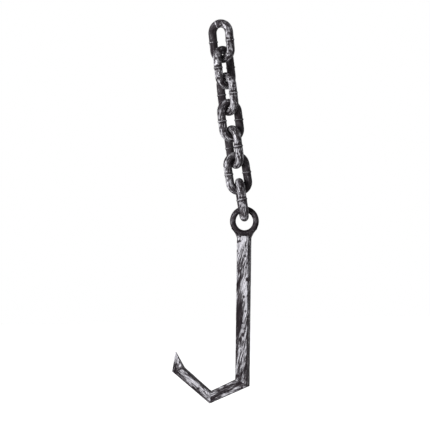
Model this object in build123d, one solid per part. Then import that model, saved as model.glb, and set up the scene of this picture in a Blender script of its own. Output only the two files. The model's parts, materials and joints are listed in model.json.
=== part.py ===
"""Meat hook: a square-bar hook with a round eye, hung on seven short welded chain links.

Millimetres, +Z up, as it hangs. The origin is the inner crown of the top link, where it is hung.
Each link swings about the end bar of the link above it, and the hook about the last link's.
The hook's flat plane is XZ, with its point towards -X.
"""
from build123d import *
import os
from math import cos, radians, sin

# ---- chain
link_bar = 13.0  # diameter
link_side_room = 3.0  # inside width of a link beyond the bar that hangs in it
link_inner_length = 41.4
contact_gap = 0.5  # between two bars that hang square in each other
turn_rise = 7.0  # a piece that hangs out of square rides up by this, times its squared cosine
link_yaws = [-14, 65, -36, 44, -47, 34, -69]  # turn of each link about the chain, degrees
link_leans = [6.0, 6.5, 6.7, 7.2, 7.9, 8.9, 8.7]  # lean of each link, its foot towards +X
hang_turn = 1.9  # turns the whole assembly back until its weight is under the top crown

# ---- butt weld at the middle of each leg
weld_width = 3.2
weld_height = 0.8  # how far the bead stands above the bar

# ---- eye of the hook and the weld that holds it
eye_bar = 9.2
eye_mean_radius = 18.25
eye_seat_depth = 0.6  # how far the ring is let into the top of the shank
neck_spread_angle = 31  # where the neck weld leaves the ring, degrees below its middle
neck_length = 7.5  # how far the neck weld runs down the sides of the shank
neck_hollow = 1.7  # how far the sides of the neck curve in
neck_thickness = 12.0
neck_lap = 1.5  # how far the neck weld laps the outside of the ring
neck_round = 2.2

# ---- square bar of the hook
stock = 19.0  # width and thickness of the shank
shank_drop = 246.4  # eye centre to the middle of the heel
lower_arm_length = 55.8
lower_arm_fall = 25.6  # below level, degrees
lower_arm_widths = (18.2, 16.8)  # heel end, toe end
rising_arm_length = 65.2
rising_arm_climb = 38.4
rising_arm_widths = (13.6, 15.4)
point_length = 27.8
point_climb = 101.0
point_widths = (17.4, 1.4)  # base, tip
toe_thickness = 18.2
point_base_thickness = 15.6
tip_thickness = 1.8
long_edge_round = 1.7
point_edge_round = 0.5
hook_lean = -0.9  # lean of the shank, its foot towards -X
vee_depth = 3.2  # of the ground edges of a mitre, filled by weld
vee_reach = 2.6  # along the bar, to each side of the mitre
vee_overcut = 0.5  # how far a grinding cut starts outside the bar

# ---- worked out
link_radius = link_bar + link_side_room / 2
bar_centre = (link_inner_length + link_bar) / 2  # middle of a link to the centre of its end bar
leg_half = bar_centre - link_radius
end_chamfer = weld_width / 2
eye_outer = eye_mean_radius + eye_bar / 2
shank_top = -(eye_outer - eye_seat_depth)
thickness_way = Vector(0, 1, 0)


def heading(angle):
    """A unit vector of the XZ plane, at an angle from +X towards +Z."""
    return Vector(cos(radians(angle)), 0, sin(radians(angle)))


def hung(middle, lean, yaw=0):
    """The place of a piece with its middle at a point, leaned, and turned about its own length."""
    return Location(middle, (0, -lean, 0)) * Location((0, 0, 0), (0, 0, yaw))


def hang_gap(turn):
    """The clearance between two bars hung in each other, one turned from the other."""
    return contact_gap + turn_rise * cos(radians(turn)) ** 2


def outline(*points):
    """A face in the XZ plane."""
    return make_face(Polyline(*points, close=True))


def save(name, shape, place):
    """Writes one piece where it hangs."""
    piece = place * shape
    piece.label = name
    export_step(piece, f"parts/{name}.step")


# ---- links
def half_link(side):
    """Half of a link: its round end and two half legs, ground at their ends for the weld."""
    left = Line((-link_radius, 0, 0), (-link_radius, 0, side * leg_half))
    right = Line((link_radius, 0, side * leg_half), (link_radius, 0, 0))
    crown = ThreePointArc(left @ 1, (0, 0, side * (leg_half + link_radius)), right @ 0)
    start = Plane((-link_radius, 0, 0), x_dir=(1, 0, 0), z_dir=(0, 0, side))
    bent = sweep(start * Circle(link_bar / 2), path=Wire([left, crown, right]))
    rims = bent.edges().filter_by(GeomType.CIRCLE).filter_by(lambda rim: abs(rim.center().Z) < 0.01)
    return chamfer(rims, end_chamfer)


def leg_weld(side):
    """The bead that fills the vee between two half legs and stands a little proud."""
    radius = link_bar / 2
    root = Polyline((radius, 0, end_chamfer), (radius - end_chamfer, 0, 0), (radius, 0, -end_chamfer))
    crown = ThreePointArc(root @ 1, (radius + weld_height, 0, 0), root @ 0)
    bead = revolve(make_face([*root.edges(), crown]), Axis.Z)
    return Pos(side * link_radius, 0, 0) * bead


# ---- eye and neck
def eye_ring():
    """The closed ring at the top of the hook, its face seams away from the shank."""
    return Rot(0, 45, 0) * Rot(90, 0, 0) * Torus(eye_mean_radius, eye_bar / 2)


def flip(point):
    """The same point on the other side of the shank."""
    return Vector(-point.X, 0, point.Z)


def neck_weld(ring, shank):
    """The weld collar that spreads from the shank up both sides of the ring."""
    leave = heading(-neck_spread_angle) * eye_outer
    inner = heading(-neck_spread_angle) * (eye_outer - neck_lap)
    foot = Vector(stock / 2, 0, shank_top - neck_length)
    hollow = thickness_way.cross(foot - leave).normalized() * neck_hollow
    waist = (leave + foot) / 2 + hollow
    right = ThreePointArc(leave, waist, foot)
    left = ThreePointArc(flip(foot), flip(waist), flip(leave))
    belly = ThreePointArc(flip(inner), (0, 0, neck_lap - eye_outer), inner)
    ends = [Line(foot, flip(foot)), Line(flip(leave), flip(inner)), Line(inner, leave)]
    collar = extrude(make_face([right, left, belly, *ends]), neck_thickness / 2, both=True)
    flanks = collar.faces().filter_by(GeomType.CYLINDER).sort_by(Axis.X)
    rims = [rim for flank in (flanks[0], flanks[-1]) for rim in flank.edges().filter_by(GeomType.CIRCLE)]
    return fillet(rims, neck_round) - shank - ring


# ---- square bars
def crossing(a, b, c, d):
    """Where the line a-b of the XZ plane meets the line c-d."""
    along, other, gap = b - a, d - c, c - a
    share = (gap.X * other.Z - gap.Z * other.X) / (along.X * other.Z - along.Z * other.X)
    return a + along * share


def side_lines(start, end, widths):
    """The inner and outer side of a tapered bar, for bars that follow each other round the hook."""
    outwards = (end - start).cross(thickness_way).normalized()
    inner = (start - outwards * widths[0] / 2, end - outwards * widths[1] / 2)
    outer = (start + outwards * widths[0] / 2, end + outwards * widths[1] / 2)
    return inner, outer


def mitre(sides, next_sides):
    """The inner and outer corner where two bars meet."""
    return [crossing(*side, *next_side) for side, next_side in zip(sides, next_sides)]


def tapered_bar(corners, start, end, thicknesses, ahead, edge_round):
    """A bar with these XZ corners whose thickness tapers from start to end, its long edges rounded.

    The taper runs on past the end by the length ahead, to reach the outer corner of its mitre.
    """
    run = (end - start).normalized()
    length = (end - start).length
    slope = (thicknesses[1] - thicknesses[0]) / 2 / length
    near_half = thicknesses[0] / 2 - slope * stock
    far_half = thicknesses[1] / 2 + slope * ahead
    near, far = -stock, length + ahead
    taper = Polyline((near, -near_half), (far, -far_half), (far, far_half), (near, near_half), close=True)
    along = Plane(start, x_dir=run, z_dir=run.cross(thickness_way))
    wedge = extrude(along * make_face(taper), 3 * stock, both=True)
    bar = extrude(outline(*corners), stock, both=True) & wedge
    long_edges = bar.edges().filter_by(lambda edge: abs((edge @ 1 - edge @ 0).dot(run)) > 0.6 * length)
    return fillet(long_edges, edge_round)


def mitre_grinding(inner, outer, thickness, sides, way):
    """The slab of a bar beside its mitre, and the root of it that the grinding leaves."""
    across = (outer - inner).normalized()
    back = thickness_way.cross(across) * way
    shift = back * vee_reach
    spare = across * stock
    slab_end = outline(inner - spare, outer + spare, outer + spare + shift, inner - spare + shift)
    far_inner, far_outer = [crossing(*side, inner + shift, outer + shift) for side in sides]
    root_ends = []
    for low, high, inset in ((inner, outer, vee_depth), (far_inner, far_outer, -vee_overcut)):
        plane = Plane((low + high) / 2, x_dir=across, z_dir=back)
        root_ends.append(plane * Rectangle((high - low).length - 2 * inset, thickness - 2 * inset))
    return extrude(slab_end, stock, both=True), loft(root_ends, ruled=True)


os.makedirs("parts", exist_ok=True)

# ---- the chain, from the top down
seat = Vector(0, 0, 0)  # where the next piece hangs: after the first, the centre of an end bar
above_yaw = None
for number, (yaw, lean) in enumerate(zip(link_yaws, link_leans), 1):
    lean -= hang_turn
    up = heading(90 + lean)
    rise = link_bar / 2 if above_yaw is None else link_bar + hang_gap(yaw - above_yaw)
    middle = seat + up * (rise - bar_centre)
    place = hung(middle, lean, yaw)
    if above_yaw is not None:
        axis = (place * Pos(0, 1, 0)).position - middle
        print(f"link {number - 1} foot {tuple(seat)} axis {tuple(axis)}")
    save(f"link_{number}_upper_half", half_link(1), place)
    save(f"link_{number}_lower_half", half_link(-1), place)
    save(f"link_{number}_left_weld", leg_weld(-1), place)
    save(f"link_{number}_right_weld", leg_weld(1), place)
    seat = middle - up * bar_centre
    above_yaw = yaw
print(f"link {number} foot {tuple(seat)} axis {tuple(thickness_way)}")

# ---- the hook, drawn with its eye at the origin and its shank straight down
top = Vector(0, 0, shank_top)
heel = Vector(0, 0, -shank_drop)
toe = heel - heading(lower_arm_fall) * lower_arm_length
point_base = toe + heading(180 - rising_arm_climb) * rising_arm_length
tip = point_base + heading(point_climb) * point_length

shank_sides = side_lines(top, heel, (stock, stock))
lower_sides = side_lines(heel, toe, lower_arm_widths)
rising_sides = side_lines(toe, point_base, rising_arm_widths)
point_sides = side_lines(point_base, tip, point_widths)

shank_end = [side[0] for side in shank_sides]
heel_mitre = mitre(shank_sides, lower_sides)
toe_mitre = mitre(lower_sides, rising_sides)
point_mitre = mitre(rising_sides, point_sides)
tip_end = [side[1] for side in point_sides]


def bar_between(near_end, far_end, *shape):
    """A tapered bar from one pair of inner and outer corners to the next."""
    return tapered_bar([near_end[0], far_end[0], far_end[1], near_end[1]], *shape)


ring = eye_ring()
arm = (stock, long_edge_round)
shank = bar_between(shank_end, heel_mitre, top, heel, (stock, stock), *arm)
neck = neck_weld(ring, shank)
shank -= ring
lower_arm = bar_between(heel_mitre, toe_mitre, heel, toe, (stock, toe_thickness), *arm)
rising_arm = bar_between(
    toe_mitre, point_mitre, toe, point_base, (toe_thickness, point_base_thickness), *arm
)
point = bar_between(
    point_mitre, tip_end, point_base, tip, (point_base_thickness, tip_thickness), 0, point_edge_round
)


def welded(first, second, corners, thickness, first_sides, second_sides):
    """Two bars with their mitre ground to a vee all round, and the flush weld that fills it."""
    ground, filling = [], []
    for bar, sides, way in ((first, first_sides, -1), (second, second_sides, 1)):
        slab, root = mitre_grinding(*corners, thickness, sides, way)
        filling.append((bar & slab) - root)
        ground.append(bar - filling[-1])
    return *ground, filling[0] + filling[1]


shank, lower_arm, heel_weld = welded(shank, lower_arm, heel_mitre, stock, shank_sides, lower_sides)
lower_arm, rising_arm, toe_weld = welded(
    lower_arm, rising_arm, toe_mitre, toe_thickness, lower_sides, rising_sides
)
rising_arm, point, point_weld = welded(
    rising_arm, point, point_mitre, point_base_thickness, rising_sides, point_sides
)

lean = hook_lean - hang_turn
eye_rise = (link_bar + eye_bar) / 2 + hang_gap(link_yaws[-1])
place = hung(seat + heading(90 + lean) * (eye_rise - eye_mean_radius), lean)
save("hook_eye", ring, place)
save("hook_neck_weld", neck, place)
save("hook_shank", shank, place)
save("hook_heel_weld", heel_weld, place)
save("hook_lower_arm", lower_arm, place)
save("hook_toe_weld", toe_weld, place)
save("hook_rising_arm", rising_arm, place)
save("hook_point_weld", point_weld, place)
save("hook_point", point, place)
toe_corner = (place * Pos(toe_mitre[0])).position
print(f"eye centre {tuple(place.position)}, inner corner of the toe {tuple(toe_corner)}")
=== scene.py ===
import json
import math

import bmesh
import bpy
from mathutils import Matrix, Vector, noise

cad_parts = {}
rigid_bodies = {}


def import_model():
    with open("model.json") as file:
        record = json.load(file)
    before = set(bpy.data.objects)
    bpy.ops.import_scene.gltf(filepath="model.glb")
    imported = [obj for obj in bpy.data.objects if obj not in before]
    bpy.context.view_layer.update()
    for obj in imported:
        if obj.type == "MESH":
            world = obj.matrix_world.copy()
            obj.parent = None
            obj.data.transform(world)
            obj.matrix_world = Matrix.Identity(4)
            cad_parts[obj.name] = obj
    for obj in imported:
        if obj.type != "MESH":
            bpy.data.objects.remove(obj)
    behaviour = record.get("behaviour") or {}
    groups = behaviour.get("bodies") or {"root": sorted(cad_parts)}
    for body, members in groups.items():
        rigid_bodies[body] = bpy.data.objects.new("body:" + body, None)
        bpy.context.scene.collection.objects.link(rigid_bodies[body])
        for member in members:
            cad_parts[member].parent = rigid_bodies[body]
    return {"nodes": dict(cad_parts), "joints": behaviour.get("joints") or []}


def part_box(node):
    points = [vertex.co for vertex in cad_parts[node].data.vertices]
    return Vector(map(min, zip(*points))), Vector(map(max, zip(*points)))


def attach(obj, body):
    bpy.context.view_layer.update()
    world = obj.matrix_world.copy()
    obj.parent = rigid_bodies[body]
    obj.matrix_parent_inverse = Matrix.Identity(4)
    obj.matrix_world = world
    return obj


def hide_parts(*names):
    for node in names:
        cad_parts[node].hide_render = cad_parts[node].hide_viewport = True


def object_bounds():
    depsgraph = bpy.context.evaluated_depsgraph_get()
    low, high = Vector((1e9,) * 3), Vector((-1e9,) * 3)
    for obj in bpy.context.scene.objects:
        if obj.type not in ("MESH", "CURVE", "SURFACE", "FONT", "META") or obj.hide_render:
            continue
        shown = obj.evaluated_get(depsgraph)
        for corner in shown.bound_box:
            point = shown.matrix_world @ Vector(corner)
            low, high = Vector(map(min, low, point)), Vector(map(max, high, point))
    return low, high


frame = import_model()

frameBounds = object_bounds()
mm = 0.001


def nodeCentre(name):
    low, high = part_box(name)
    return (low + high) / 2


def nodeReach(name, start, way):
    return max((vertex.co - start).dot(way) for vertex in frame["nodes"][name].data.vertices)


footOf = {joint["parent"]: Vector(joint["pos_m"]) for joint in frame["joints"]}


hammering = {"seedShift": Vector((3.7, 1.3, 2.1)), "fineScale": 3.3, "broadShare": 0.7, "fineShare": 0.3}


def pressHammerMarks(bm, place, depth, size, seed):
    # hammering only goes in, so the piece stays inside its stock
    bm.normal_update()
    shift = hammering["seedShift"] * seed
    moves = []
    for vertex in bm.verts:
        at = vertex[place]
        spot = Vector((at.x / size[0], at.y / size[1], at.z / size[1])) + shift
        broad = noise.noise(spot) * 0.5 + 0.5
        fine = noise.noise(spot * hammering["fineScale"]) * 0.5 + 0.5
        share = hammering["broadShare"] * broad + hammering["fineShare"] * fine
        moves.append(vertex.normal * -depth * share)
    for vertex, move in zip(bm.verts, moves):
        vertex.co += move


def markSharp(bm, degrees):
    for edge in bm.edges:
        edge.smooth = not (edge.is_manifold and edge.calc_face_angle(0) > math.radians(degrees))
    for face in bm.faces:
        face.smooth = True


def finishPiece(bm, name, body, nodes, material, sharpAt=40):
    markSharp(bm, sharpAt)
    mesh = bpy.data.meshes.new(name)
    bm.to_mesh(mesh)
    bm.free()
    mesh.materials.append(material)
    piece = bpy.data.objects.new(name, mesh)
    bpy.context.scene.collection.objects.link(piece)
    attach(piece, body)
    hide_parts(*nodes)
    return piece


def addNode(tree, kind, **settings):
    node = tree.nodes.new(kind)
    for name, value in settings.items():
        setattr(node, name, value)
    return node


def feed(tree, socket, value):
    if isinstance(value, bpy.types.NodeSocket):
        tree.links.new(value, socket)
    else:
        socket.default_value = value


def mathNode(tree, operation, a, b=0.0, clamp=False):
    node = addNode(tree, "ShaderNodeMath", operation=operation, use_clamp=clamp)
    feed(tree, node.inputs[0], a)
    feed(tree, node.inputs[1], b)
    return node.outputs[0]


def mixColours(tree, factor, a, b):
    node = addNode(tree, "ShaderNodeMix", data_type="RGBA")
    feed(tree, node.inputs["Factor"], factor)
    feed(tree, node.inputs[6], a)
    feed(tree, node.inputs[7], b)
    return node.outputs[2]


def mapRange(tree, value, fromLow, fromHigh, toLow=0.0, toHigh=1.0, smooth=True):
    node = addNode(tree, "ShaderNodeMapRange", interpolation_type="SMOOTHSTEP" if smooth else "LINEAR")
    for index, item in enumerate((value, fromLow, fromHigh, toLow, toHigh)):
        feed(tree, node.inputs[index], item)
    return node.outputs[0]


def newGroup(name, inputs, outputs):
    group = bpy.data.node_groups.new(name, "ShaderNodeTree")
    for title, kind, default in inputs:
        socket = group.interface.new_socket(title, in_out="INPUT", socket_type=kind)
        if default is not None:
            socket.default_value = default
    for title, kind in outputs:
        group.interface.new_socket(title, in_out="OUTPUT", socket_type=kind)
    return group, group.nodes.new("NodeGroupInput"), group.nodes.new("NodeGroupOutput")


def useGroup(tree, group, **values):
    node = addNode(tree, "ShaderNodeGroup", node_tree=group)
    for title, value in values.items():
        feed(tree, node.inputs[title], value)
    return node


vectorKind, floatKind = "NodeSocketVector", "NodeSocketFloat"


def buildBrushStrokes():
    # long dry strokes that run along a bar: Place is the bar straightened out, in metres
    group, given, out = newGroup(
        "brushStrokes",
        [("Place", vectorKind, None), ("Length", floatKind, 0.02), ("Width", floatKind, 0.002),
         ("Cover", floatKind, 0.5), ("Softness", floatKind, 0.1), ("Slant", floatKind, 0.0)],
        [("Mask", floatKind)],
    )
    parts = addNode(group, "ShaderNodeSeparateXYZ")
    feed(group, parts.inputs[0], given.outputs["Place"])
    along = mathNode(group, "DIVIDE", parts.outputs[0], given.outputs["Length"])
    lean = mathNode(group, "MULTIPLY", parts.outputs[0], given.outputs["Slant"])
    leaned = mathNode(group, "ADD", parts.outputs[1], lean)
    across = mathNode(group, "DIVIDE", leaned, given.outputs["Width"])
    deep = mathNode(group, "DIVIDE", parts.outputs[2], given.outputs["Width"])
    joined = addNode(group, "ShaderNodeCombineXYZ")
    for socket, value in zip(joined.inputs, (along, across, deep)):
        feed(group, socket, value)
    grain = addNode(group, "ShaderNodeTexNoise")
    feed(group, grain.inputs["Vector"], joined.outputs[0])
    grain.inputs["Scale"].default_value = 1.0
    grain.inputs["Detail"].default_value = 2.5
    grain.inputs["Roughness"].default_value = 0.5
    grain.inputs["Distortion"].default_value = 0.6
    edge = mathNode(group, "SUBTRACT", 1.0, given.outputs["Cover"])
    low = mathNode(group, "SUBTRACT", edge, given.outputs["Softness"])
    high = mathNode(group, "ADD", edge, given.outputs["Softness"])
    feed(group, out.inputs["Mask"], mapRange(group, grain.outputs[0], low, high))
    return group


def buildPits():
    # small round spots of differing sizes, 1 inside and 0 outside
    group, given, out = newGroup(
        "pits",
        [("Place", vectorKind, None), ("Spacing", floatKind, 0.006), ("Size", floatKind, 0.12)],
        [("Mask", floatKind)],
    )
    scale = addNode(group, "ShaderNodeVectorMath", operation="SCALE")
    feed(group, scale.inputs[0], given.outputs["Place"])
    feed(group, scale.inputs["Scale"], mathNode(group, "DIVIDE", 1.0, given.outputs["Spacing"]))
    cells = addNode(group, "ShaderNodeTexVoronoi", feature="F1")
    feed(group, cells.inputs["Vector"], scale.outputs[0])
    cells.inputs["Scale"].default_value = 1.0
    tint = addNode(group, "ShaderNodeSeparateColor")
    feed(group, tint.inputs[0], cells.outputs["Color"])
    size = mathNode(group, "MULTIPLY", given.outputs["Size"], tint.outputs[0])
    core = mathNode(group, "MULTIPLY", size, 0.5)
    feed(group, out.inputs["Mask"], mapRange(group, cells.outputs["Distance"], size, core))
    return group


brushStrokes = buildBrushStrokes()
pits = buildPits()
print("shader groups ready")


# the layers of the brushing, as shares of a finish's own stroke length, width and slant
brushing = {
    "cloudCover": 0.5, "cloudSoftness": 0.2,
    "fineLength": 0.5, "fineWidth": 0.45, "fineSlant": 1.7, "fineExtraCover": 0.01,
    "hairLength": 0.8, "hairWidth": 0.4, "hairSlant": 1.2, "hairSoftness": 0.05,
    "broadShare": 0.55, "fineShare": 0.45, "strokeHeight": 0.5, "reliefDepth": 0.25 * mm,
}


def paintedOn(tree, name, output="Fac"):
    node = addNode(tree, "ShaderNodeAttribute", attribute_type="GEOMETRY", attribute_name=name)
    return node.outputs[output]


def buildBlackenedIron(name, finish):
    # blackened skin, dry-brushed with bright strokes that run along the bar
    material = bpy.data.materials.new(name)
    material.use_nodes = True
    tree = material.node_tree
    shader = tree.nodes["Principled BSDF"]
    place = paintedOn(tree, "place", "Vector")
    tone = paintedOn(tree, "tone")
    wear = paintedOn(tree, "wear")

    def strokes(length, width, cover, softness, slant):
        node = useGroup(tree, brushStrokes, Place=place, Length=length, Width=width,
                        Cover=cover, Softness=softness, Slant=slant)
        return node.outputs[0]

    def spots(kind):
        spacing, size = finish[kind + "Spacing"], finish[kind + "Size"]
        return useGroup(tree, pits, Place=place, Spacing=spacing, Size=size).outputs[0]

    length, width, slant, softness = [finish[key] for key in ("length", "width", "slant", "softness")]
    clouds = strokes(finish["cloudLength"], finish["cloudWidth"],
                     brushing["cloudCover"], brushing["cloudSoftness"], slant)
    # tone adds the painted highlights and painted shade from the mesh to the brushing's cover
    cover = mathNode(tree, "ADD", mapRange(tree, clouds, 0.0, 1.0, *finish["cover"], smooth=False), tone)
    cover = mathNode(tree, "ADD", cover, mathNode(tree, "MULTIPLY", wear, finish["edge"]))
    broad = strokes(length, width, cover, softness, slant)
    fineCover = mathNode(tree, "ADD", cover, brushing["fineExtraCover"])
    fine = strokes(length * brushing["fineLength"], width * brushing["fineWidth"], fineCover,
                   softness, slant * brushing["fineSlant"])
    hairs = strokes(length * brushing["hairLength"], width * brushing["hairWidth"], finish["hairCover"],
                    brushing["hairSoftness"], slant * brushing["hairSlant"])
    pitted = spots("pit")
    flecks = spots("fleck")

    crossed = mathNode(tree, "MULTIPLY", broad, fine)
    broadPart = mathNode(tree, "MULTIPLY", broad, brushing["broadShare"])
    finePart = mathNode(tree, "MULTIPLY", fine, brushing["fineShare"])
    brushed = mathNode(tree, "ADD", broadPart, finePart)
    unpitted = mathNode(tree, "SUBTRACT", 1.0, pitted)
    comb = mapRange(tree, hairs, 0.0, 1.0, finish["hairDepth"], 1.0, smooth=False)
    combed = mathNode(tree, "MULTIPLY", brushed, comb)
    bare = mathNode(tree, "MULTIPLY", combed, unpitted, clamp=True)
    bright = mathNode(tree, "MAXIMUM", crossed, mathNode(tree, "MULTIPLY", flecks, broad))

    skin = mixColours(tree, clouds, finish["skinDark"], finish["skinLight"])
    metal = mixColours(tree, bright, finish["metalDull"], finish["metalBright"])
    feed(tree, shader.inputs["Base Color"], mixColours(tree, bare, skin, metal))
    feed(tree, shader.inputs["Roughness"], mapRange(tree, bare, 0.0, 1.0, *finish["rough"], smooth=False))
    feed(tree, shader.inputs["Metallic"], mathNode(tree, "MULTIPLY", bare, finish["metallic"]))
    shader.inputs["Specular IOR Level"].default_value = finish["gloss"]

    bump = addNode(tree, "ShaderNodeBump")
    bump.inputs["Strength"].default_value = finish["relief"]
    bump.inputs["Distance"].default_value = brushing["reliefDepth"]
    raised = mathNode(tree, "MULTIPLY", brushed, brushing["strokeHeight"])
    feed(tree, bump.inputs["Height"], mathNode(tree, "SUBTRACT", raised, pitted))
    feed(tree, shader.inputs["Normal"], bump.outputs[0])
    return material


hookFinish = {
    "length": 19 * mm, "width": 2.0 * mm, "slant": 0.2, "softness": 0.035, "cover": (0.42, 0.57),
    "hairCover": 0.56, "hairDepth": 0.5,
    "cloudLength": 34 * mm, "cloudWidth": 6 * mm, "edge": 0.04,
    "pitSpacing": 7 * mm, "pitSize": 0.62, "fleckSpacing": 6 * mm, "fleckSize": 0.5,
    "skinDark": (0.015, 0.011, 0.014, 1), "skinLight": (0.048, 0.040, 0.045, 1),
    "metalDull": (0.22, 0.21, 0.225, 1), "metalBright": (0.56, 0.55, 0.59, 1),
    "rough": (0.62, 0.40), "metallic": 0.16, "gloss": 0.03, "relief": 0.8,
}
chainFinish = {
    **hookFinish, "length": 9 * mm, "width": 1.6 * mm, "slant": 0.12, "cover": (0.38, 0.55),
    "cloudLength": 14 * mm, "cloudWidth": 5 * mm, "pitSpacing": 5 * mm,
    "skinDark": (0.022, 0.017, 0.020, 1), "skinLight": (0.062, 0.054, 0.060, 1),
    "metalBright": (0.64, 0.63, 0.67, 1),
}
eyeFinish = {
    **hookFinish, "length": 4 * mm, "width": 1.6 * mm, "slant": 0.1, "cover": (0.34, 0.50),
    "cloudLength": 12 * mm, "cloudWidth": 5 * mm, "relief": 0.5,
    "metalDull": (0.06, 0.055, 0.06, 1), "metalBright": (0.24, 0.23, 0.25, 1),
}
beadFinish = {**chainFinish, "length": 3 * mm, "width": 1.0 * mm, "cover": (0.54, 0.66), "relief": 0.5}
hookIron = buildBlackenedIron("hookIron", hookFinish)
chainIron = buildBlackenedIron("chainIron", chainFinish)
eyeIron = buildBlackenedIron("eyeIron", eyeFinish)
beadIron = buildBlackenedIron("beadIron", beadFinish)
print("finishes ready")


linkShape = {
    "sides": 32, "crownSteps": 48, "legSteps": 12,
    "hammerDepth": 0.30 * mm, "hammerSize": (9 * mm, 5 * mm),
    "beadSides": 40, "beadProfileSides": 12, "beadRipple": 0.22 * mm,
    "paintedLitLegs": [1, -1, 1, -1, 1, -1, 1],  # which leg of each link gets a painted highlight, the other leg painted shade
    # painted light and shade: the lit leg brighter and the other darker, and painted shade on the crowns
    # where the links hang in each other and on the inside of the ring
    "legLightAndShade": 0.07, "crownShade": -0.05, "insideShade": -0.08,
    # painted shade on a bead's flanks, outside its crest
    "beadCrest": (0.35 * mm, 1.0 * mm), "beadFlankShade": 0.25,
    "creviceShade": -0.18, "creviceAt": 2.6 * mm, "creviceReach": 0.9 * mm,  # painted shade beside a bead
    # painted highlight lines across a crown, for link and half: side, angle round the crown, how much
    # brighter
    "seams": {(1, 1): (-1, 1.15, 0.30), (7, -1): (1, 0.9, 0.12)},
    "highlightLean": 0.35, "legShift": 0.4, "linkShift": 0.9,  # the shifts give each leg its own strokes
    "beadSection": 1.25, "beadStretch": 1.5,  # radius of its section against its height, and its widening
    "beadToneShare": 0.6, "beadRippleSize": (1.6 * mm, 1.6 * mm),
}
mergeReach = 0.001 * mm
shadedSide = Vector((0.95, 0.0, 0.31))  # painted shade: what faces this way is darkened
shadedTone = -0.08
shadedFrom, shadedFully = 0.05, 0.75  # how far a face has to turn that way


def addLayers(bm):
    # place is where a point lies on the straightened bar, tone how much brighter it is brushed together
    # with painted highlights and painted shade, and wear how rubbed its edge is
    floats = bm.verts.layers.float
    return bm.verts.layers.float_vector.new("place"), floats.new("tone"), floats.new("wear")


def smoothStep(value, low, high):
    share = max(0.0, min(1.0, (value - low) / (high - low)))
    return share * share * (3 - 2 * share)


def shadeSide(bm, tone, turn):
    # painted shade: faces turned towards shadedSide are made darker in the tone
    bm.normal_update()
    for vertex in bm.verts:
        turned = (turn @ vertex.normal).dot(shadedSide)
        vertex[tone] += shadedTone * smoothStep(turned, shadedFrom, shadedFully)


def linkFrame(number):
    # the middle of the link, its lateral, thickness and up directions, and its sizes, all from its nodes
    left, right = nodeCentre(f"link_{number}_left_weld"), nodeCentre(f"link_{number}_right_weld")
    middle = (left + right) / 2
    lateral = (right - left).normalized()
    up = (middle - footOf[f"link_{number}"]).normalized()
    thick = up.cross(lateral)
    half = f"link_{number}_upper_half"
    turn = Matrix((lateral, thick, up)).transposed().to_4x4()
    return {
        "place": Matrix.Translation(middle) @ turn,
        "radius": (right - left).length / 2,
        "bar": nodeReach(half, middle, thick),
        "crownTop": nodeReach(half, middle, up),
        "beadReach": nodeReach(f"link_{number}_right_weld", middle, thick),
    }


def buildHalfLink(number, side):
    link = linkFrame(number)
    radius, bar = link["radius"], link["bar"]
    legEnd = link["crownTop"] - radius - bar
    bm = bmesh.new()
    start = Matrix.Translation((-radius, 0, 0))
    bmesh.ops.create_circle(bm, segments=linkShape["sides"], radius=bar, matrix=start)
    endLoop = bm.edges[:]
    firstEdges = endLoop[:]
    for centre, angle, travel, steps in (
        ((0, 0, 0), 0, legEnd, linkShape["legSteps"]),
        ((0, 0, side * legEnd), side * math.pi, 0, linkShape["crownSteps"]),
        ((0, 0, 0), 0, -legEnd, linkShape["legSteps"]),
    ):
        grown = bmesh.ops.spin(bm, geom=endLoop, cent=centre, axis=(0, 1, 0), angle=angle, steps=steps,
                               dvec=(0, 0, side * travel / steps), use_merge=False)
        endLoop = [item for item in grown["geom_last"] if isinstance(item, bmesh.types.BMEdge)]
    bmesh.ops.contextual_create(bm, geom=firstEdges)
    bmesh.ops.contextual_create(bm, geom=endLoop)
    bmesh.ops.remove_doubles(bm, verts=bm.verts, dist=mergeReach)
    bmesh.ops.recalc_face_normals(bm, faces=bm.faces)

    place, tone = addLayers(bm)[:2]
    for vertex in bm.verts:
        x, y, z = vertex.co
        beyond = abs(z) - legEnd
        if beyond > 0:
            along = math.copysign(legEnd + radius * math.atan2(beyond, abs(x)), z)
            out = math.hypot(x, beyond) - radius
        else:
            along, out = z, abs(x) - radius
        turned = math.copysign(1, x)
        shift = turned * linkShape["legShift"] + number * linkShape["linkShift"]
        vertex[place] = Vector((along + shift, out, y * turned))
        # painted light and shade: one leg painted lit and the other shaded, darker crowns where the links
        # hang in each other, a darker inside of the ring, and painted shade beside the bead
        leg = smoothStep(x * linkShape["paintedLitLegs"][number - 1], -0.5 * radius, 0.5 * radius) * 2 - 1
        crowned = smoothStep(beyond, 0, radius)
        inside = smoothStep(-out, -0.2 * bar, 0.8 * bar)
        crevice = math.exp(-((abs(along) - linkShape["creviceAt"]) / linkShape["creviceReach"]) ** 2)
        vertex[tone] = (leg * linkShape["legLightAndShade"] + crowned * linkShape["crownShade"]
                        + inside * linkShape["insideShade"] + crevice * linkShape["creviceShade"])
        # a painted highlight line across the crown
        if (number, side) in linkShape["seams"]:
            lineSide, lineAngle, lineHighlight = linkShape["seams"][number, side]
            past = (abs(along) - legEnd - lineAngle * radius) / mm + linkShape["highlightLean"] * (y / mm)
            if turned == lineSide:
                vertex[tone] += lineHighlight * math.exp(-past * past)
    shadeSide(bm, tone, link["place"].to_3x3())
    pressHammerMarks(bm, place, linkShape["hammerDepth"], linkShape["hammerSize"], number)
    bm.transform(link["place"])
    half = "upper" if side > 0 else "lower"
    node = f"link_{number}_{half}_half"
    finishPiece(bm, f"linkHalf_{number}_{half}", f"link_{number}", [node], chainIron)


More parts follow.
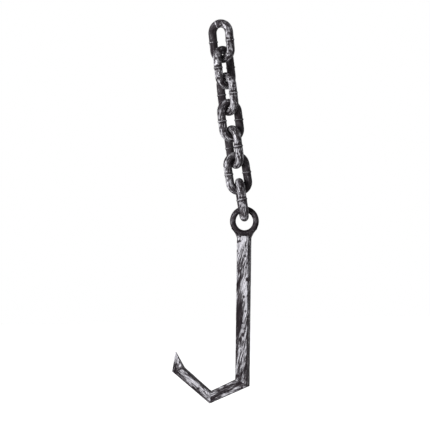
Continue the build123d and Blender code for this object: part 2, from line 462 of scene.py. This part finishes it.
def buildLegBead(number, side):
    link = linkFrame(number)
    bar, proud = link["bar"], link["beadReach"] - link["bar"]
    bm = bmesh.new()
    section = linkShape["beadSection"] * proud
    upright = Matrix.Rotation(math.pi / 2, 4, "X")
    profile = Matrix.Translation((link["beadReach"] - section, 0, 0)) @ upright
    bmesh.ops.create_circle(bm, segments=linkShape["beadProfileSides"], radius=section, matrix=profile)
    bmesh.ops.scale(bm, verts=bm.verts, vec=(1, 1, linkShape["beadStretch"]))
    bmesh.ops.spin(bm, geom=bm.edges[:], cent=(0, 0, 0), axis=(0, 0, 1), angle=2 * math.pi,
                   steps=linkShape["beadSides"], use_merge=True)
    bmesh.ops.remove_doubles(bm, verts=bm.verts, dist=mergeReach)
    bmesh.ops.recalc_face_normals(bm, faces=bm.faces)
    place, tone = addLayers(bm)[:2]
    for vertex in bm.verts:
        x, y, z = vertex.co
        vertex[place] = Vector((math.atan2(y, x) * bar + number, z, math.hypot(x, y) - bar))
        # painted shade on the bead's flanks, and the leg's painted highlight and shade carried onto the
        # bead
        crest = 1 - smoothStep(abs(z), *linkShape["beadCrest"])
        brighter = side * linkShape["paintedLitLegs"][number - 1]
        vertex[tone] = brighter * linkShape["legLightAndShade"] * linkShape["beadToneShare"]
        vertex[tone] += (crest - 1) * linkShape["beadFlankShade"]
    shadeSide(bm, tone, link["place"].to_3x3())
    pressHammerMarks(bm, place, linkShape["beadRipple"], linkShape["beadRippleSize"], number * side)
    bm.transform(link["place"] @ Matrix.Translation((side * link["radius"], 0, 0)))
    word = "right" if side > 0 else "left"
    node = f"link_{number}_{word}_weld"
    finishPiece(bm, f"legBead_{number}_{word}", f"link_{number}", [node], beadIron)


for number in range(1, len(linkShape["paintedLitLegs"]) + 1):
    for side in (1, -1):
        buildHalfLink(number, side)
        buildLegBead(number, side)
print("chain ready")


eyeShape = {"sides": 28, "steps": 96, "hammerDepth": 0.18 * mm, "hammerSize": (8 * mm, 5 * mm), "seed": 11}


def buildEye():
    low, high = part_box("hook_eye")
    centre = (low + high) / 2
    bar = (high.y - low.y) / 2
    radius = (high.x - low.x) / 2 - bar
    bm = bmesh.new()
    start = Matrix.Translation((radius, 0, 0))
    bmesh.ops.create_circle(bm, segments=eyeShape["sides"], radius=bar, matrix=start)
    bmesh.ops.spin(bm, geom=bm.edges[:], cent=(0, 0, 0), axis=(0, 1, 0), angle=2 * math.pi,
                   steps=eyeShape["steps"], use_merge=True)
    bmesh.ops.remove_doubles(bm, verts=bm.verts, dist=mergeReach)
    bmesh.ops.recalc_face_normals(bm, faces=bm.faces)
    place, tone = addLayers(bm)[:2]
    for vertex in bm.verts:
        x, y, z = vertex.co
        vertex[place] = Vector((abs(math.atan2(x, z)) * radius, math.hypot(x, z) - radius, y))
    shadeSide(bm, tone, Matrix.Identity(3))
    pressHammerMarks(bm, place, eyeShape["hammerDepth"], eyeShape["hammerSize"], eyeShape["seed"])
    bmesh.ops.translate(bm, verts=bm.verts, vec=centre)
    finishPiece(bm, "eyeRing", "hook", ["hook_eye"], eyeIron)
    return centre


eyeCentre = buildEye()


barShape = {
    "cut": 2.2 * mm, "cutAcross": 3 * mm,
    "cutShifts": (0.37 * mm, 0.41 * mm),  # keep the cuts off the middle of the bar
    "hammerDepth": 0.45 * mm, "hammerSize": (13 * mm, 6 * mm), "wearAngle": 0.9,
    "barShift": 0.31, "sharpAt": 30, "nodeMerge": 0.002 * mm, "cutMerge": 0.02 * mm,
    "pointHammer": 0.5, "cornerHammer": 0.7, "neckHammer": 0.6,  # shares of the depth
}
strokeLeans = {"shank": 0.0, "lower_arm": -0.18, "rising_arm": -0.24, "point": -0.16}  # turn the strokes
# where each bar is brighter or darker, partly uneven brushing and partly painted highlights and painted
# shade:
# how far along the bar and across it, the reach along and across, all in millimetres, and how much brighter
brushedAndShadedPatches = {
    "shank": [
        (30, 0, 14, 14, 0.06), (26, 4, 4, 5, 0.16), (60, 4, 30, 5, 0.06), (72, -7, 14, 3, -0.10),
        (112, -3.5, 30, 3.4, -0.16), (150, -3, 22, 4.5, -0.16), (120, 5, 60, 3.5, 0.09),
        (95, -9.5, 55, 1.5, 0.13), (185, -1, 14, 6, 0.04), (215, 2, 28, 3, 0.02),
        (212, -3, 30, 2.5, -0.06), (230, -5.5, 14, 2.2, 0.12), (238, -9.5, 34, 2.6, -0.30),
        (222, 8, 30, 2, -0.06), (246, 2, 16, 9, -0.07),
    ],
    "lower_arm": [
        (30, -7.5, 34, 2.4, -0.14), (30, -3.5, 26, 1.8, 0.07), (34, 1.0, 24, 2.6, -0.12),
        (22, 5.5, 18, 2.2, 0.04), (0, 3, 12, 9, -0.10), (52, 4, 6, 6, -0.10),
    ],
    "rising_arm": [(28, 0.5, 26, 4.5, 0.07), (32, 7.5, 40, 2.4, -0.20), (66, 0, 10, 9, -0.14)],
    "point": [(15, 0, 15, 7, 0.05), (8, 0, 2.5, 2, -0.3), (0, 0, 4, 9, -0.16)],
}


def copyNode(name):
    bm = bmesh.new()
    bm.from_mesh(frame["nodes"][name].data)
    bmesh.ops.remove_doubles(bm, verts=bm.verts, dist=barShape["nodeMerge"])
    for layer in list(bm.loops.layers.uv.values()):
        bm.loops.layers.uv.remove(layer)
    return bm


def sliceAlong(bm, start, way, step):
    reaches = [(vertex.co - start).dot(way) for vertex in bm.verts]
    at = math.ceil(min(reaches) / step) * step
    while at < max(reaches):
        parts = bm.verts[:] + bm.edges[:] + bm.faces[:]
        cut = start + way * at
        bmesh.ops.bisect_plane(bm, geom=parts, dist=barShape["cutMerge"], plane_co=cut, plane_no=way)
        at += step


def brushedAndShadedAt(patches, along, across):
    # uneven brushing together with painted highlights and painted shade
    total = 0.0
    for middleAlong, middleAcross, reachAlong, reachAcross, amount in patches:
        awayAlong = (along / mm - middleAlong) / reachAlong
        awayAcross = (across / mm - middleAcross) / reachAcross
        total += amount * math.exp(-(awayAlong ** 2 + awayAcross ** 2))
    return total


def buildBar(name, node, start, end, seed, material, slot, patches=(), hammer=1.0, lean=0.0):
    run = (end - start).normalized()
    thick = Vector((0, 1, 0))
    across = run.cross(thick)
    bm = copyNode(node)
    acrossShift, thickShift = barShape["cutShifts"]
    sliceAlong(bm, start, run, barShape["cut"])
    sliceAlong(bm, start + across * acrossShift, across, barShape["cutAcross"])
    sliceAlong(bm, start + thick * thickShift, thick, barShape["cutAcross"])
    bmesh.ops.remove_doubles(bm, verts=bm.verts, dist=barShape["cutMerge"])
    bm.normal_update()
    place, tone, wear = addLayers(bm)
    for vertex in bm.verts:
        offset = vertex.co - start
        alongBar, acrossBar = offset.dot(run), offset.dot(across)
        vertex[tone] = brushedAndShadedAt(patches, alongBar, acrossBar)
        shifted, leaned = alongBar + seed * barShape["barShift"], acrossBar + alongBar * lean
        vertex[place] = Vector((shifted, leaned, offset.dot(thick)))
        bends = [edge.calc_face_angle_signed(0) for edge in vertex.link_edges if edge.is_manifold]
        vertex[wear] = max(0.0, min(1.0, sum(bends) / barShape["wearAngle"]))
    shadeSide(bm, tone, Matrix.Identity(3))
    pressHammerMarks(bm, place, barShape["hammerDepth"] * hammer, barShape["hammerSize"], seed)
    finishPiece(bm, name, "hook", [node], material, barShape["sharpAt"])


heelCentre, toeCentre, baseCentre = [nodeCentre(f"hook_{word}_weld") for word in ("heel", "toe", "point")]
pointCorners = [vertex.co for vertex in frame["nodes"]["hook_point"].data.vertices]
tipPoint = max(pointCorners, key=lambda corner: corner.z).copy()
barLines = {
    "shank": (eyeCentre, heelCentre), "lower_arm": (heelCentre, toeCentre),
    "rising_arm": (toeCentre, baseCentre), "point": (baseCentre, tipPoint),
}
for seed, (word, (start, end)) in enumerate(barLines.items(), 1):
    hammer = barShape["pointHammer"] if word == "point" else 1.0
    patches, lean = brushedAndShadedPatches[word], strokeLeans[word]
    buildBar(f"bar_{word}", f"hook_{word}", start, end, seed, hookIron, "hook", patches, hammer, lean)
# each corner weld is brushed like the bar after it
cornerBars = {"heel": "lower_arm", "toe": "rising_arm", "point": "point"}
for seed, (corner, word) in enumerate(cornerBars.items(), 2):
    patches, lean, hammer = brushedAndShadedPatches[word], strokeLeans[word], barShape["cornerHammer"]
    node = f"hook_{corner}_weld"
    buildBar(f"weld_{corner}", node, *barLines[word], seed, hookIron, "weld", patches, hammer, lean)
neckSeed, neckHammer = 7, barShape["neckHammer"]
buildBar("weld_neck", "hook_neck_weld", eyeCentre, heelCentre, neckSeed, eyeIron, "weld", (), neckHammer)
print("hook ready")


stage = {"floorDrop": 60 * mm, "floorSize": 8.0, "floorColour": (0.8, 0.8, 0.8, 1), "floorGlow": 0.87}
ambient = {"colour": (0.95, 0.97, 1.0, 1), "strength": 0.16}
lamps = {
    "keyLamp": {"from": (-1.0, -1.85, 0.35), "power": 38, "size": 0.8},
    "fillLamp": {"from": (-2.0, -0.9, 0.2), "power": 7, "size": 1.0},
    "backLamp": {"from": (1.7, 1.3, 0.3), "power": 10, "size": 1.0},  # lights the right side and the back
}
# azimuth turns the camera from -Y towards +X, and the roll leans it; the rest places the object in its view
view = {"azimuth": 16.0, "roll": -2.0, "lens": 200, "heights": 1.122, "aside": 2.9 * mm, "below": 5.4 * mm}

lowest, highest = Vector(frameBounds[0]), Vector(frameBounds[1])
middle = (lowest + highest) / 2


def seenDirectly(tree):
    # 1 for what the camera, a reflection or glass sees, 0 for what only lights the object
    path = addNode(tree, "ShaderNodeLightPath")
    seen = mathNode(tree, "MAXIMUM", path.outputs["Is Camera Ray"], path.outputs["Is Glossy Ray"])
    return mathNode(tree, "MAXIMUM", seen, path.outputs["Is Transmission Ray"])


def buildFloor():
    bm = bmesh.new()
    bmesh.ops.create_grid(bm, x_segments=1, y_segments=1, size=stage["floorSize"] / 2)
    bmesh.ops.translate(bm, verts=bm.verts, vec=(middle.x, middle.y, lowest.z - stage["floorDrop"]))
    mesh = bpy.data.meshes.new("floor")
    bm.to_mesh(mesh)
    bm.free()
    floor = bpy.data.objects.new("floor", mesh)
    bpy.context.scene.collection.objects.link(floor)
    pale = bpy.data.materials.new("paleFloor")
    pale.use_nodes = True
    tree = pale.node_tree
    shader = tree.nodes["Principled BSDF"]
    shader.inputs["Base Color"].default_value = stage["floorColour"]
    shader.inputs["Roughness"].default_value = 0.9
    shader.inputs["Emission Color"].default_value = (1, 1, 1, 1)
    glow = mathNode(tree, "MULTIPLY", seenDirectly(tree), stage["floorGlow"])
    feed(tree, shader.inputs["Emission Strength"], glow)
    mesh.materials.append(pale)


def buildWorld():
    world = bpy.data.worlds.new("studio")
    bpy.context.scene.world = world
    world.use_nodes = True
    tree = world.node_tree
    plain = tree.nodes["Background"]
    plain.inputs["Color"].default_value = ambient["colour"]
    plain.inputs["Strength"].default_value = ambient["strength"]
    white = addNode(tree, "ShaderNodeBackground")
    white.inputs["Color"].default_value = (1, 1, 1, 1)
    blend = addNode(tree, "ShaderNodeMixShader")
    feed(tree, blend.inputs[0], seenDirectly(tree))
    tree.links.new(plain.outputs[0], blend.inputs[1])
    tree.links.new(white.outputs[0], blend.inputs[2])
    tree.links.new(blend.outputs[0], tree.nodes["World Output"].inputs[0])


def buildLamps():
    for name, values in lamps.items():
        lamp = bpy.data.lights.new(name, "AREA")
        lamp.energy, lamp.size = values["power"], values["size"]
        holder = bpy.data.objects.new(name, lamp)
        away = Vector(values["from"])
        holder.location = middle + away
        holder.rotation_euler = away.to_track_quat("Z", "Y").to_euler()
        bpy.context.scene.collection.objects.link(holder)


def buildCamera():
    turn, roll = math.radians(view["azimuth"]), math.radians(view["roll"])
    right = Vector((math.cos(turn), math.sin(turn), 0))
    back = Vector((math.sin(turn), -math.cos(turn), 0))
    up = Vector((0, 0, 1))
    aim = middle + right * view["aside"] - up * view["below"]
    lens = bpy.data.cameras.new("camera")
    lens.lens = view["lens"]
    distance = view["heights"] * (highest.z - lowest.z) * lens.lens / lens.sensor_width
    camera = bpy.data.objects.new("camera", lens)
    leaned = Matrix((right, up, back)).transposed().to_4x4() @ Matrix.Rotation(roll, 4, "Z")
    camera.matrix_world = Matrix.Translation(aim + back * distance) @ leaned
    bpy.context.scene.collection.objects.link(camera)
    bpy.context.scene.camera = camera


buildFloor()
buildWorld()
buildLamps()
buildCamera()
bpy.context.scene.view_settings.view_transform = "Standard"
print("stage ready")
